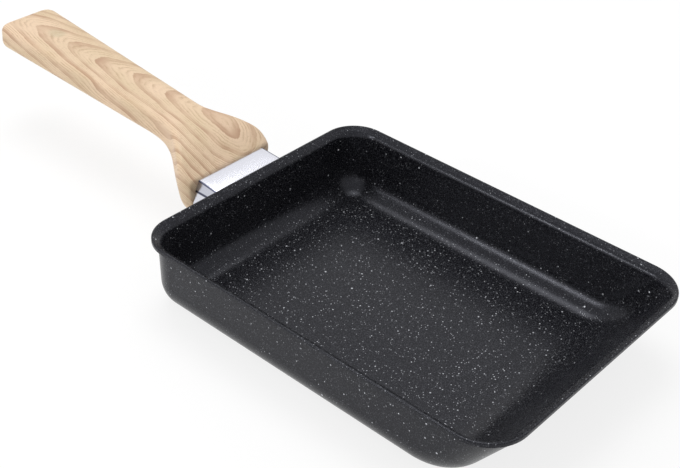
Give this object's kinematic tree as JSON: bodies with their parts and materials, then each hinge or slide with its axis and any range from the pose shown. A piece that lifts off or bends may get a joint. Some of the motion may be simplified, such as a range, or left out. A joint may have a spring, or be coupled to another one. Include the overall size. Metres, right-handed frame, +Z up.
{
  "type": "tamagoyaki pan",
  "caption": "Rectangular rolled-omelette frying pan with a flared lip, a sloped far end, speckled non-stick coat, metal flame guard and wood-look grip.",
  "frame": {"origin": "on the flat underside of the pan, below the middle of the rim's length and width", "axes": "+X from the grip towards the sloped end, +Y to the left of that, +Z up out of the pan"},
  "size_m": [0.3386, 0.1334, 0.0525],
  "materials": {
    "stone_coat": "black non-stick coat with fine pale speckles, satin, over pressed aluminium",
    "bracket_alloy": "plain, as formed",
    "polished_guard": "bright polished",
    "wood_look": "heat-resistant moulding with a pale wood-grain skin, satin",
    "screw_steel": "bright zinc",
    "washer_steel": "bright zinc"
  },
  "bodies": {
    "root": {"pan_body": "stone_coat", "handle_bracket": "bracket_alloy", "flame_guard": "polished_guard", "handle_grip": "wood_look", "grip_screw": "screw_steel", "spring_washer": "washer_steel"}
  },
  "joints": []
}
